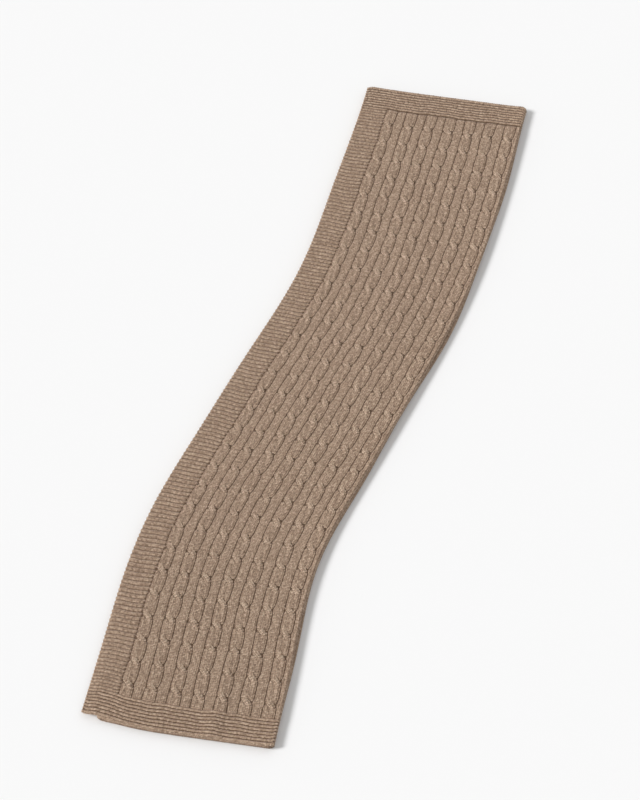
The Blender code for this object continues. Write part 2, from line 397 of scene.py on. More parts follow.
def part_starts():
    """Where each layer and fold begins on the way around, as (start, kind, number, width)."""
    starts = []
    around = 0.0
    for layer in range(1, LAYERS + 1):
        starts.append((around, "layer", layer, LAYER_EDGES[layer][2]))
        around += LAYER_EDGES[layer][2]
        if layer < LAYERS:
            starts.append((around, "fold", layer, FOLD_WIDTH))
            around += FOLD_WIDTH
    return starts


PART_STARTS = part_starts()
LAST_AROUND = PART_STARTS[-1][0] + PART_STARTS[-1][3]


def cloth_section(around, along):
    """Across and height of the middle of the cloth, its face's direction, and its layer."""
    across, height, out_across, out_up, layers = (np.zeros(len(around)) for _ in range(5))
    starts = np.array([part[0] for part in PART_STARTS])
    parts = np.clip(np.searchsorted(starts, around + 1e-9, side="right") - 1, 0, None)
    for index, (start, kind, number, width) in enumerate(PART_STARTS):
        here = parts == index
        share = (around[here] - start) / width
        where = along[here]
        if kind == "layer":
            left, right = layer_limits(number, where)
            faces_up = number % 2 == 1
            across[here] = left + (right - left) * (share if faces_up else 1.0 - share)
            height[here] = level(number, across[here], where)
            out_up[here] = 1.0 if faces_up else -1.0
            layers[here] = number
            continue
        middle, mid_height, radius = fold_section(number, where)
        side = FOLDS[number][1]
        sine, cosine = np.sin(math.pi * share), np.cos(math.pi * share)
        across[here] = middle + radius * side * sine
        height[here] = mid_height + radius * cosine
        out_across[here] = sine
        out_up[here] = side * cosine
        layers[here] = np.where(share < 0.5, number, number + 1)
    return across, height, out_across, out_up, layers


def end_pull(layers, across, along):
    """How far each layer is drawn in from its ends, along the strip."""
    corner = bell(across - EDGES["top edge"][0], CORNER_REACH)
    pull = np.zeros(len(across))
    for layer, (near_left, near_right, far_left, far_right) in END_PULLS.items():
        near = near_left * corner + near_right * (1.0 - corner)
        far = far_left * corner + far_right * (1.0 - corner)
        drawn = near * fade(along / PULL_REACH) - far * fade((LENGTH - along) / PULL_REACH)
        sides = [edge_across(name, along) for name in LAYER_EDGES[layer][:2]]
        rounding = CORNER_ROUND * sum(bell(across - side, ROUND_REACH) for side in sides)
        drawn = drawn + rounding * (fade(along / CORNER_REACH) - fade((LENGTH - along) / CORNER_REACH))
        pull = np.where(layers == layer, drawn, pull)
    return pull


def place(around, along, face):
    """Points of the throw, one row each, before it is centred over the origin."""
    across, height, out_across, out_up, layers = cloth_section(around, along)
    across = across + face * out_across
    height = height + face * out_up
    drawn = along + end_pull(layers, across, along)
    turn = COURSE_TURN * heading(drawn)
    x = np.interp(drawn, PATH_ALONG, PATH_X) + across * np.cos(turn)
    y = np.interp(drawn, PATH_ALONG, PATH_Y) - across * np.sin(turn)
    return np.stack([x, y, height], 1)


def unit(vectors):
    return vectors / np.linalg.norm(vectors, axis=1, keepdims=True)


def cloth_axes(around, along, face):
    """Unit vectors across the cloth, along it and out of its face, at each point."""
    nudge = 0.0004
    toward_edge = place(around + nudge, along, face) - place(around - nudge, along, face)
    toward_far = place(around, along + nudge, face) - place(around, along - nudge, face)
    out = unit(np.cross(toward_edge, toward_far))
    far = unit(toward_far)
    return np.cross(far, out), far, out


def smooth_turn(share):
    """Goes from -1 to 1 as share does, and stays level past both."""
    share = np.clip(share, -1.0, 1.0)
    return 1.5 * share - 0.5 * share**3


def shoulder(offset, half, reach, depth):
    """How far a rounded rib drops at this offset from its middle, and its slope there."""
    share = np.clip((np.abs(offset) - (half - reach)) / reach, 0.0, 1.0)
    return depth * share**2, 2.0 * depth * share / reach * np.sign(offset)


CABLE_SHOULDER = {"half": CABLE_WIDTH / 2.0, "reach": 0.0055, "depth": 0.0015}
RIB_SHOULDER = {"half": RIB_WALES * RIB_WALE / 2.0, "reach": 0.0045, "depth": 0.0012}


def crossing_offset(along):
    """Distance to the nearest crossing, toward the far end."""
    index = np.clip(np.round((along - FIRST_CROSSING) / CROSSING_PITCH), 0, CROSSINGS - 1)
    return along - FIRST_CROSSING - index * CROSSING_PITCH


def waists(along):
    """How far the left and the right groove of a cable bend in."""
    near_crossing = bell(crossing_offset(along), WAIST_REACH)
    return LEFT_WAIST * near_crossing, RIGHT_WAIST * near_crossing


def bent_grooves(around, along):
    """The same places around the cloth, moved with the grooves where they bend in at a crossing."""
    left, right = waists(along)
    offset = np.mod(around - BORDER, REPEAT_PITCH)
    over_cable = offset / CABLE_WIDTH
    over_rib = (offset - CABLE_WIDTH) / RIB_WIDTH
    in_cable = left * (1.0 - over_cable) - right * over_cable
    in_rib = left * over_rib - right * (1.0 - over_rib)
    move = np.where(offset < CABLE_WIDTH, in_cable, in_rib)
    move = np.where(around < BORDER, left * fade((BORDER - around) / BORDER_EASE), move)
    last_rib = BORDER + REPEATS * REPEAT_PITCH - RIB_WIDTH
    move = move * fade((around - last_rib) / PANEL_EASE)
    for from_end in (along, LENGTH - along):
        move = move * fade((BORDER + PANEL_EASE - from_end) / PANEL_EASE + 1.0)
    return around + move


def relaxed(around, along):
    """The same places on the top layer, a little off their straight lines."""
    inside = fade((around - WANDER_STOP) / WANDER_EASE) * fade(1.0 - around / EDGE_EASE)
    inside = inside * fade(1.0 - along / END_EASE) * fade(1.0 - (LENGTH - along) / END_EASE)
    aside, ahead = 0.0, 0.0
    for size, wave, drift in WANDERS_ACROSS:
        aside = aside + size * np.sin(math.tau * along / wave + drift * around)
    for size, wave, drift in WANDERS_ALONG:
        ahead = ahead + size * np.sin(math.tau * around / wave + drift * along)
    return around + inside * aside, along + inside * ahead


def ground(around, along):
    """Face of the cloth itself, under the stitches that stand on it, and how far it lies in shade."""
    crest = np.abs(np.sin(math.pi * np.interp(along, VALLEYS, np.arange(RIDGES + 1))))
    border = RIDGE_VALLEY + RIDGE_RISE * crest
    offset = np.mod(around - BORDER, REPEAT_PITCH)
    in_cable = offset < CABLE_WIDTH
    middle = np.where(in_cable, CABLE_WIDTH / 2.0, CABLE_WIDTH + RIB_WIDTH / 2.0)
    half = np.where(in_cable, CABLE_WIDTH, RIB_WIDTH) / 2.0
    rise = np.clip((half - np.abs(offset - middle)) / GROOVE_REACH, 0.0, 1.0)
    panel = GROOVE_FACE + (np.where(in_cable, CABLE_GROUND, RIB_GROUND) - GROOVE_FACE) * rise
    in_end = (along < BORDER) | (along > LENGTH - BORDER)
    in_border = (around < BORDER - GROOVE_REACH) | in_end
    face = np.where(in_border, border, panel)
    # Painted shade: darkest at the bottom of a groove and in the border's valleys, lighter where the panel
    # rises and on the crests, weaker in the side border
    valley = np.where(in_end, 1.0, SIDE_VALLEY_SHADE)
    shade = np.where(in_border, valley * (1.0 - CREST_LIGHT * crest), 1.0 - PANEL_LIGHT * rise)
    # Painted shade on the cloth beside each crossing, deeper on the cable's right half where the crossing
    # opens
    crossing_shade = np.where(offset > CABLE_WIDTH / 2.0, OPENING_SHADE, CLOSED_SHADE)
    crossing_shade = crossing_shade * bell(crossing_offset(along), CROSSING_REACH) * (in_cable & ~in_border)
    shade = np.maximum(shade, crossing_shade)
    on_top = around < LAST_ON_TOP
    hidden = np.where(around < PART_STARTS[6][0] + FOLD_OVERLAP, HIDDEN_FACE, CLOTH / 2.0)
    return np.where(on_top, face, hidden), np.where(on_top, shade, 0.0)


# Columns of the cloth: places around its border and in each repeat, and shares of a layer and of a fold
BORDER_COLUMNS = (0.0, 0.0012, 0.004, 0.015, 0.029, 0.043, 0.054, 0.0572)
CABLE_COLUMNS = (0.0, 0.0014, 0.0038, 0.0080, 0.0121, 0.0162, 0.0204, 0.0228)
RIB_COLUMNS = (0.0242, 0.0256, 0.0288, 0.03435, 0.0399, 0.0431)
REPEAT_COLUMNS = CABLE_COLUMNS + RIB_COLUMNS
TOP_BACK_SHARES = np.linspace(0.0, 0.97, 16)
LAYER_SHARES = np.array((0.05, 0.1, 0.3, 0.5, 0.7, 0.9, 0.95))
ROUND_SHARES = np.linspace(0.0, 1.0, 9)
FLAT_SHARES = ROUND_SHARES[::4]


def cloth_columns():
    """Places around the cloth of the columns of its face and of its back."""
    panel = [BORDER + index * REPEAT_PITCH + spot for index in range(REPEATS) for spot in REPEAT_COLUMNS]
    first_fold = PART_STARTS[1][0]
    face = [BORDER_COLUMNS, [around for around in panel if around < first_fold]]
    back = []
    for start, kind, number, width in PART_STARTS:
        if kind == "fold":
            shows_face = number != 2
            face.append(start + width * (ROUND_SHARES if shows_face else FLAT_SHARES))
            back.append(start + width * (FLAT_SHARES if shows_face else ROUND_SHARES))
        elif number == 1:
            back.append(start + width * TOP_BACK_SHARES)
        else:
            face.append(start + width * LAYER_SHARES)
            back.append(start + width * LAYER_SHARES)
    face.append([LAST_AROUND])
    back.append([LAST_AROUND])
    return np.concatenate(face), np.concatenate(back)


def cloth_mesh(centre):
    """The whole cloth as one closed body: face, back and the rims that join them."""
    face_columns, back_columns = cloth_columns()
    rows = np.interp(np.arange(2 * RIDGES + 1) / 2.0, np.arange(RIDGES + 1), VALLEYS)
    count = len(rows)
    columns = np.concatenate([face_columns, back_columns[::-1]])
    around, along = (grid.ravel() for grid in np.meshgrid(columns, rows, indexing="ij"))
    is_back = np.repeat(np.arange(len(columns)) >= len(face_columns), count)
    face, shade = ground(around, along)
    face = np.where(is_back, -CLOTH / 2.0, np.where(around == 0.0, EDGE_FACE, face))
    shade = np.where(is_back, 0.0, shade)
    bent, drawn = relaxed(np.where(is_back, around, bent_grooves(around, along)), along)
    points = place(bent, drawn, face) - centre

    first = np.arange(len(columns))
    after = np.roll(first, -1)
    step = np.arange(count - 1)
    corner = (first[:, None] * count + step).ravel()
    beside = (after[:, None] * count + step).ravel()
    quads = np.stack([corner, beside, beside + 1, corner + 1], 1)
    triangles = [end_faces(face_columns, back_columns, count, end) for end in (0, count - 1)]
    triangles = np.concatenate(triangles)
    mesh = mesh_from(NODE + "_cloth", points, quads, triangles)
    knit = np.stack([around, along], 1)
    add_map(mesh, "knit", knit[loop_vertices(mesh)])
    add_map(mesh, "OFBake", cloth_bake_map(knit, is_back, quads, triangles))
    add_values(mesh, "shade", shade)
    add_values(mesh, "tone_and_highlight", np.full(len(points), 0.5))
    return mesh


def cloth_bake_map(knit, is_back, quads, triangles):
    """Places in the unit square: the face on the left, the back beside it, rims and ends in strips."""
    share = knit / (LAST_AROUND, LENGTH)
    corners = quads.ravel()
    mixed = np.repeat(is_back[quads].any(1) & ~is_back[quads].all(1), 4)
    back = is_back[corners]
    u = 0.01 + 0.46 * share[corners, 0] + 0.48 * back
    rim = 0.97 + 0.012 * (share[corners, 0] > 0.5) + 0.006 * back
    sides = np.stack([np.where(mixed, rim, u), 0.02 + 0.96 * share[corners, 1]], 1)
    corners = triangles.ravel()
    far = share[corners, 1] > 0.5
    ends = np.stack([0.01 + 0.94 * share[corners, 0], 0.002 + 0.985 * far + 0.008 * is_back[corners]], 1)
    return np.concatenate([sides, ends])


def end_faces(face_columns, back_columns, count, end):
    """Triangles that close one end between the cloth's face and its back."""
    last = len(face_columns) + len(back_columns) - 1
    made = []
    i, j = 0, 0
    while i < len(face_columns) - 1 or j < len(back_columns) - 1:
        on_face = j == len(back_columns) - 1
        if i < len(face_columns) - 1 and not on_face:
            on_face = face_columns[i + 1] <= back_columns[j + 1]
        corners = [i, last - j, i + 1 if on_face else last - j - 1]
        made.append(corners if end == 0 else corners[::-1])
        i, j = (i + 1, j) if on_face else (i, j + 1)
    return np.array(made) * count + end


def mesh_from(name, points, quads, triangles):
    """A smooth mesh from arrays of points, quads and triangles."""
    mesh = bpy.data.meshes.new(name)
    mesh.from_pydata(points.tolist(), [], quads.tolist() + triangles.tolist())
    mesh.shade_smooth()
    return mesh


def loop_vertices(mesh):
    vertices = np.empty(len(mesh.loops), np.int32)
    mesh.loops.foreach_get("vertex_index", vertices)
    return vertices


def add_map(mesh, name, places):
    """Adds a UV map, with a place for each face corner."""
    layer = mesh.uv_layers.new(name=name)
    layer.uv.foreach_set("vector", places.astype(np.float32).ravel())


def add_values(mesh, name, values):
    """Adds one value for each point."""
    layer = mesh.attributes.new(name, "FLOAT", "POINT")
    layer.data.foreach_set("value", values.astype(np.float32))


def legs(around, along, top, length, width, turn=0.0, pitch=0.0, tilt=0.0, depth=LEG_DEPTH, shade=0.0):
    """Stitch legs as rows of a table.

    top is the height of their tops. turn is their direction, from the far end toward +around. pitch
    lifts their front end, and tilt turns them on their own length.
    """
    fields = np.broadcast_arrays(around, along, top, turn, pitch, tilt, length, width, depth, shade)
    return np.stack([field.ravel() for field in fields], 1)


LEG_FIELDS = ("around", "along", "top", "turn", "pitch", "tilt", "length", "width", "depth", "shade")


def column(table, name):
    """One field of all legs in a table."""
    return table[:, LEG_FIELDS.index(name)]


def stitch_pair(around, along, top, path_turn, tilt, wale, stretch, shade=0.0, groove=0.0):
    """The two legs of each stitch of a wale, which open toward the far end like a V.

    groove is the side that a groove lies on, -1 or 1. The leg there is drawn straighter.
    """
    both = []
    for side in (-1.0, 1.0):
        aside = side * 0.25 * wale
        lean = GROOVE_LEAN if side == groove else LEG_LEAN
        both.append(
            legs(
                around + aside * np.cos(path_turn),
                along - aside * np.sin(path_turn),
                top,
                turn=path_turn + side * lean,
                tilt=tilt + side * LEG_TILT,
                length=LEG_LENGTH * ROW * stretch,
                width=LEG_WIDTH * wale,
                shade=shade,
            )
        )
    return np.concatenate(both)


def panel_rows():
    """Rows of the cable panel, from one end border to the other."""
    first = BORDER + FIRST_ROW * ROW
    count = int((LENGTH - 2.0 * BORDER - ROW_MARGIN * ROW) / ROW)
    return first + np.arange(count) * ROW


def strand_path(offset, front):
    """Across and turn of the middle of a cable's strand, at this distance from a crossing."""
    side, reach = (-1.0, CROSSING_REACH) if front else (1.0, HIDDEN_CROSSING_REACH)
    share = offset / reach
    across = side * CABLE_WIDTH / 4.0 * smooth_turn(share) - STRAND_SHIFT * bell(offset, CROSSING_REACH)
    slope = side * CABLE_WIDTH / 4.0 * 1.5 * np.clip(1.0 - share**2, 0.0, None) / reach
    return across, np.arctan(slope)


def front_strand(middle):
    """Stitches of the strand of a cable that passes over the other at each crossing."""
    rows = panel_rows()
    path, turn = strand_path(crossing_offset(rows), True)
    near_crossing = bell(crossing_offset(rows), STRAND_REACH)
    made = []
    for side in CABLE_WALE_SIDES:
        wales_aside = side * (1.0 - STRAND_TIGHT * near_crossing)
        aside = wales_aside * CABLE_WALE
        across = path + aside * np.cos(turn)
        drop, drop_slope = shoulder(across, **CABLE_SHOULDER)
        rounded = (WALE_ROUND + STRAND_ROUND * near_crossing) * wales_aside**2
        lifted = STRAND_LIFT * near_crossing - drop * (1.0 - LEVELLING * near_crossing)
        # Painted shade on the shoulders, less a painted highlight on the front strand near each crossing
        made.append(
            stitch_pair(
                middle + across,
                rows - aside * np.sin(turn),
                CABLE_FACE + lifted - rounded,
                turn,
                np.arctan(drop_slope) + (WALE_TILT + STRAND_TILT * near_crossing) * wales_aside,
                CABLE_WALE,
                1.0 / np.cos(turn),
                SHOULDER_SHADE * drop / CABLE_SHOULDER["depth"] - STRAND_PAINTED_HIGHLIGHT * near_crossing,
                side,
            )
        )
    return np.concatenate(made)


def hidden_strand(middle):
    """Stitches of a cable's other strand, apart from those under the front one."""
    rows = panel_rows()
    offset = crossing_offset(rows)
    path, turn = strand_path(offset, False)
    over, over_turn = strand_path(offset, True)
    near_crossing = bell(offset, STRAND_REACH)
    made = []
    for side in CABLE_WALE_SIDES:
        wales_aside = side * (1.0 - STRAND_TIGHT * near_crossing)
        across = path + wales_aside * CABLE_WALE
        clear = np.abs(across - over) * np.cos(over_turn) - CABLE_WIDTH / 4.0
        under = fade((clear + DIVE_START) / DIVE_REACH)
        shadow = fade((clear + DIVE_START) / SHADOW_REACH) * bell(offset, SHADOW_LENGTH)
        painted_shadow = np.where(offset > 0.0, FAR_SHADOW * np.maximum(under, shadow), NEAR_SHADOW * under)
        drop, drop_slope = shoulder(across, **CABLE_SHOULDER)
        stitches = (
            middle + across,
            rows,
            CABLE_FACE - drop - WALE_ROUND * wales_aside**2 - STRAND_DIVE * under,
            turn,
            np.arctan(drop_slope) + WALE_TILT * wales_aside,
            np.full(len(rows), CABLE_WALE),
            1.0 / np.cos(turn),
            SHOULDER_SHADE * drop / CABLE_SHOULDER["depth"] + painted_shadow,
        )
        seen = clear > -HIDDEN_REACH
        made.append(stitch_pair(*(field[seen] for field in stitches), side))
    return np.concatenate(made)


def plain_wale(around, along, top, tilt, wale, shade=0.0, groove=0.0):
    """A wale that runs straight along the cloth."""
    return stitch_pair(around, along, top, np.zeros(len(along)), tilt, wale, 1.0, shade, groove)


def rib_stitches(middle, last):
    """Stitches of one plain rib. The last rib goes on round the first fold."""
    rows = panel_rows()
    left, right = waists(rows)
    spread = 1.0 + (left + right) / 2.0 / RIB_SHOULDER["half"]
    made = []
    for index in range(1 if last else RIB_WALES):
        aside = (index - (RIB_WALES - 1) / 2.0) * RIB_WALE
        drop, drop_slope = shoulder(aside, **RIB_SHOULDER)
        shade = SHOULDER_SHADE * drop / RIB_SHOULDER["depth"]
        around = middle + aside * spread + (left - right) / 2.0
        tilt = math.atan(drop_slope)
        groove = {0: -1.0, RIB_WALES - 1: 1.0}.get(index, 0.0)
        made.append(plain_wale(around, rows, RIB_FACE - drop, tilt, RIB_WALE * spread, shade, groove))
    if last:
        made += [plain_wale(around, rows, RIB_FACE, 0.0, RIB_WALE) for around in FOLD_A_WALES]
    return np.concatenate(made)


def panel_stitches():
    """Stitches of all cables and ribs."""
    made = []
    for repeat in range(REPEATS):
        left = BORDER + repeat * REPEAT_PITCH
        made.append(front_strand(left + CABLE_WIDTH / 2.0))
        made.append(hidden_strand(left + CABLE_WIDTH / 2.0))
        rib_middle = left + CABLE_WIDTH + RIB_WIDTH / 2.0
        made.append(rib_stitches(rib_middle, repeat == REPEATS - 1))
    return np.concatenate(made)


def ridge_run(first, last, crest, pitch, top, stitch=RIDGE_STITCH, shade=0.0):
    """Three rows of stitches on one ridge, side by side like the plies of a rope."""
    count = round((last - first) / stitch)
    made = []
    for ply in RIDGE_PLIES:
        made.append(
            legs(
                first + (np.arange(count) + 0.5 + PLY_STAGGER * ply) * (last - first) / count,
                crest + ply * PLY_SPACING * pitch,
                top - abs(ply) * PLY_DROP,
                turn=PLY_TURN,
                tilt=-ply * PLY_TILT,
                length=PLY_LENGTH * stitch,
                width=PLY_WIDTH * pitch,
                depth=PLY_DEPTH,
                shade=shade,
            )
        )
    return np.concatenate(made)


def ridge_end(crest, pitch):
    """The stitches that bring a ridge round the cloth's free edge."""
    ply = np.array(RIDGE_PLIES)
    made = []
    for around, top, upward in RIDGE_ENDS:
        made.append(
            legs(
                around,
                crest + ply * PLY_SPACING * pitch,
                top - np.abs(ply) * PLY_DROP,
                turn=math.pi / 2.0 - ply * RIDGE_END_TURN,
                pitch=upward,
                tilt=-ply * PLY_TILT,
                length=RIDGE_END_LEG,
                width=PLY_WIDTH * pitch,
                depth=PLY_DEPTH,
            )
        )
    return np.concatenate(made)


def ridge_stitches():
    """Stitches of all ridges of the border, from the free edge or right across at both ends."""
    third_fold = PART_STARTS[5][0]
    made = []
    for ridge, (start, end) in enumerate(zip(VALLEYS, VALLEYS[1:])):
        crest, pitch = (start + end) / 2.0, end - start
        at_end = ridge < BORDER_RIDGES or ridge >= RIDGES - BORDER_RIDGES
        if not at_end:
            reach = BORDER - RIDGE_STOP + float(waists(crest)[0])
            made.append(ridge_run(RIDGE_START, reach, crest, pitch, RIDGE_CREST, shade=SIDE_RIDGE_SHADE))
        made.append(ridge_end(crest, pitch))
        if at_end:
            run = ridge_run(RIDGE_START, FOLD_A_TURN, crest, pitch, RIDGE_CREST, shade=END_RIDGE_SHADE)
            made.append(run)
            for first, top in ((FOLD_A_TURN, RIDGE_CREST), (third_fold - FOLD_OVERLAP, CLOTH / 2.0)):
                last = first + FOLD_WIDTH + 2.0 * FOLD_OVERLAP
                made.append(ridge_run(first, last, crest, pitch, top, FOLD_STITCH))
    return np.concatenate(made)


def rim_chain(around, along, turn, outward, shade=RIM_SHADE):
    """Two rows of stitches that close a rim of the cloth. outward is their tilt, straight off the rim."""
    made = []
    for side in (-1.0, 1.0):
        made.append(
            legs(
                around,
                along,
                RIM_TOP + side * RIM_SPREAD,
                turn=turn - side * RIM_TURN,
                tilt=outward * (math.pi / 2.0 - side * RIM_TILT),
                shade=shade,
                **RIM_LEG,
            )
        )
    return np.concatenate(made)


def edge_stitches():
    """Wales on the two lower folds, and chains on the low edge and on all layers' ends."""
    rows = np.arange(0.5 * ROW, LENGTH, ROW)
    between_ends = rows[(rows > BORDER) & (rows < LENGTH - BORDER)]
    second_fold, third_fold = PART_STARTS[3][0], PART_STARTS[5][0]
    made = [rim_chain(LAST_AROUND + RIM_OUT, rows, 0.0, 1.0)]
    for share in FOLD_WALES:
        made.append(purl_wale(second_fold + share * FOLD_WIDTH, rows))
        made.append(plain_wale(third_fold + share * FOLD_WIDTH, between_ends, CLOTH / 2.0, 0.0, RIB_WALE))
    places = np.arange(RIDGE_START, LAST_AROUND, EDGE_STITCH)
    shade = np.where(places > PART_STARTS[2][0], COVERED_RIM_SHADE, RIM_SHADE)
    made.append(rim_chain(places, -RIM_OUT, math.pi / 2.0, 1.0, shade))
    made.append(rim_chain(places, LENGTH + RIM_OUT, math.pi / 2.0, -1.0, shade))
    return np.concatenate(made)


def purl_wale(around, along):
    """Purl bumps on the back of the cloth, where the second fold shows it."""
    return legs(around, along, -CLOTH / 2.0 - PURL_OUT, turn=math.pi / 2.0, tilt=math.pi, **PURL_BUMP)


def with_jitter(table):
    """The same legs, each moved, turned and sized a little by chance."""
    chance = np.random.default_rng(SEED)
    table = table.copy()
    count = len(table)
    for name, spread in (("around", JITTER), ("along", JITTER), ("turn", JITTER_TURN)):
        table[:, LEG_FIELDS.index(name)] += chance.normal(0.0, spread, count)
    for name in ("length", "width", "depth"):
        table[:, LEG_FIELDS.index(name)] *= 1.0 + chance.normal(0.0, JITTER_SIZE, count)
    return table, chance.random(count)


def guide_points(table, centre):
    """Where each leg's middle is, which way it runs, and its outward side."""
    around, along, top, turn, pitch, tilt = table.T[:6]
    around, along = relaxed(around, along)
    toward_edge, toward_far, out = cloth_axes(around, along, top)
    level_run = toward_far * np.cos(turn)[:, None] + toward_edge * np.sin(turn)[:, None]
    run = level_run * np.cos(pitch)[:, None] + out * np.sin(pitch)[:, None]
    out = out * np.cos(pitch)[:, None] - level_run * np.sin(pitch)[:, None]
    up = out * np.cos(tilt)[:, None] + np.cross(run, out) * np.sin(tilt)[:, None]
    middle = place(around, along, top) - centre - up * (column(table, "depth") / 2.0)[:, None]
    middle[:, 2] = np.maximum(middle[:, 2], LOWEST_LEG)
    return middle, unit(run), unit(up)


def node(tree, kind, **settings):
    """A new node, with its settings."""
    made = tree.nodes.new(kind)
    for name, value in settings.items():
        setattr(made, name, value)
    return made


def stitch_tree(material):
    """Geometry Nodes that put one yarn leg on each guide point and join them as a plain mesh.

    Beside the tree, it gives its input values for slender legs and for full ones.
    """
    tree = bpy.data.node_groups.new("yarn_legs", "GeometryNodeTree")
    face = tree.interface
    face.new_socket("Geometry", in_out="INPUT", socket_type="NodeSocketGeometry")
    sides = face.new_socket("Leg Sides", in_out="INPUT", socket_type="NodeSocketInt")
    rings = face.new_socket("Leg Rings", in_out="INPUT", socket_type="NodeSocketInt")
    girth = face.new_socket("Leg Girth", in_out="INPUT", socket_type="NodeSocketFloat")
    face.new_socket("Geometry", in_out="OUTPUT", socket_type="NodeSocketGeometry")
    link = tree.links.new
    source = node(tree, "NodeGroupInput")
    leg = node(tree, "GeometryNodeMeshUVSphere")
    leg.inputs["Radius"].default_value = 0.5
    link(source.outputs["Leg Sides"], leg.inputs["Segments"])
    link(source.outputs["Leg Rings"], leg.inputs["Rings"])
    turned = node(tree, "GeometryNodeTransform")
    turned.inputs["Rotation"].default_value = (0.0, 0.0, math.radians(45.0))
    link(leg.outputs["Mesh"], turned.inputs["Geometry"])

    vectors = {}
    for name in ("run", "up", "size"):
        vectors[name] = node(tree, "GeometryNodeInputNamedAttribute", data_type="FLOAT_VECTOR")
        vectors[name].inputs["Name"].default_value = name
    facing = node(tree, "FunctionNodeAxesToRotation", primary_axis="Z", secondary_axis="Y")
    link(vectors["run"].outputs["Attribute"], facing.inputs["Primary Axis"])
    link(vectors["up"].outputs["Attribute"], facing.inputs["Secondary Axis"])
    stretch = node(tree, "ShaderNodeCombineXYZ")
    stretch.inputs["Z"].default_value = 1.0
    link(source.outputs["Leg Girth"], stretch.inputs["X"])
    link(source.outputs["Leg Girth"], stretch.inputs["Y"])
    sized = node(tree, "ShaderNodeVectorMath", operation="MULTIPLY")
    link(vectors["size"].outputs["Attribute"], sized.inputs[0])
    link(stretch.outputs["Vector"], sized.inputs[1])

    placed = node(tree, "GeometryNodeInstanceOnPoints")
    link(source.outputs["Geometry"], placed.inputs["Points"])
    link(turned.outputs["Geometry"], placed.inputs["Instance"])
    link(facing.outputs["Rotation"], placed.inputs["Rotation"])
    link(sized.outputs["Vector"], placed.inputs["Scale"])
    joined = node(tree, "GeometryNodeRealizeInstances")
    link(placed.outputs["Instances"], joined.inputs["Geometry"])
    painted = node(tree, "GeometryNodeSetMaterial")
    painted.inputs["Material"].default_value = material
    link(joined.outputs["Geometry"], painted.inputs["Geometry"])
    sink = node(tree, "NodeGroupOutput")
    link(painted.outputs["Geometry"], sink.inputs["Geometry"])
    slender = {sides.identifier: 4, rings.identifier: 2, girth.identifier: SQUARE_GIRTH}
    full_girth = SQUARE_GIRTH / math.sin(math.pi / 3.0)
    full = {sides.identifier: 4, rings.identifier: 3, girth.identifier: full_girth}
    return tree, slender, full


def stitch_piece(name, table, chance, tree, settings, centre):
    """One plain mesh of all the legs in a table."""
    middle, run, up = guide_points(table, centre)
    guide = bpy.data.meshes.new(name + "_guide")
    guide.from_pydata(middle.tolist(), [], [])
    sizes = np.stack([column(table, field) for field in ("width", "depth", "length")], 1)
    for field, values in (("run", run), ("up", up), ("size", sizes)):
        layer = guide.attributes.new(field, "FLOAT_VECTOR", "POINT")
        layer.data.foreach_set("vector", values.astype(np.float32).ravel())
    # Positive shade is painted shade. Negative shade is a painted highlight, which is added to the random
    # tone.
    shade = column(table, "shade")
    add_values(guide, "shade", np.maximum(shade, 0.0))
    add_values(guide, "tone_and_highlight", chance + np.maximum(-shade, 0.0))
    obj = bpy.data.objects.new(name, guide)
    bpy.context.scene.collection.objects.link(obj)
    modifier = obj.modifiers.new("legs", "NODES")
    modifier.node_group = tree
    for identifier, value in settings.items():
        modifier[identifier] = value
    graph = bpy.context.evaluated_depsgraph_get()
    mesh = bpy.data.meshes.new_from_object(obj.evaluated_get(graph))
    obj.modifiers.remove(modifier)
    obj.data = mesh
    mesh.name = name
    bpy.data.meshes.remove(guide)
    mesh.shade_smooth()
    map_stitches(mesh, table, middle, run, up)
    for field in ("run", "up", "size"):
        if field in mesh.attributes:
            mesh.attributes.remove(mesh.attributes[field])
    return obj


def map_stitches(mesh, table, middle, run, up):
    """Gives each leg's points their place on the flat cloth, so that the yarn's pattern runs through."""
    around, along, turn = (column(table, field) for field in ("around", "along", "turn"))
    points = np.empty(len(mesh.vertices) * 3, np.float32)
    mesh.vertices.foreach_get("co", points)
    points = points.reshape(len(table), -1, 3)
    offset = points - middle[:, None, :]
    lengthwise = (offset * run[:, None, :]).sum(2)
    sideways = (offset * np.cross(run, up)[:, None, :]).sum(2)
    sine, cosine = np.sin(turn)[:, None], np.cos(turn)[:, None]
    flat_around = around[:, None] + lengthwise * sine + sideways * cosine
    flat_along = along[:, None] + lengthwise * cosine - sideways * sine
    flat = np.stack([flat_around.ravel(), flat_along.ravel()], 1)[loop_vertices(mesh)]
    add_map(mesh, "knit", flat)
    low, high = flat.min(0), flat.max(0)
    add_map(mesh, "OFBake", 0.005 + 0.99 * (flat - low) / (high - low))


